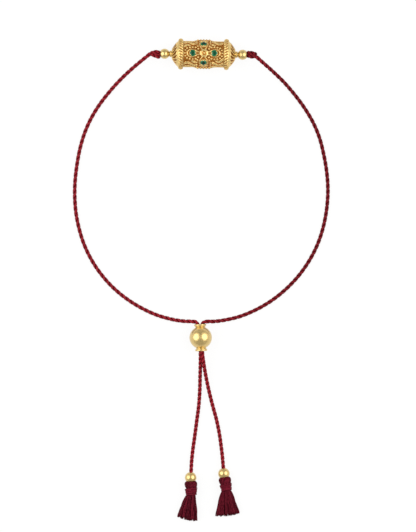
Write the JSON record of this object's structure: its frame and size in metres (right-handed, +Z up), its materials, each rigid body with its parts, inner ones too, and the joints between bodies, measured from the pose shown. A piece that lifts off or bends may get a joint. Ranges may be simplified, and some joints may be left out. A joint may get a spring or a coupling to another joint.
{
  "type": "red string bracelet",
  "caption": "Pull-cord bracelet: a twisted cord loop threaded through a jewelled gold barrel, closed by a sliding bead, with beaded tassels on the cord's ends.",
  "frame": {"origin": "middle of the cord's loop, on the surface that the bracelet lies on", "axes": "+Z up out of that surface and along the wrist, +Y from the sliding bead to the barrel, +X along the barrel"},
  "size_m": [0.0796, 0.1496, 0.0097],
  "materials": {
    "gold": "cast and polished yellow gold, darker in the recesses",
    "green_stone": "faceted and polished",
    "cord": "twisted silky thread",
    "tassel": "loose silky thread"
  },
  "bodies": {
    "root": {"barrel": "gold", "stone_front_left": "green_stone", "stone_front_right": "green_stone", "stone_front_top": "green_stone", "stone_front_bottom": "green_stone", "stone_back_left": "green_stone", "stone_back_right": "green_stone", "stone_back_top": "green_stone", "stone_back_bottom": "green_stone", "bead_left": "gold", "bead_right": "gold", "cord_inner": "cord", "knot_left": "tassel", "knot_right": "tassel", "cord_left": "cord", "cord_right": "cord", "slide_bead": "gold", "tail_bead_left": "gold", "tail_bead_right": "gold", "tassel_left": "tassel", "tassel_right": "tassel"}
  },
  "joints": []
}
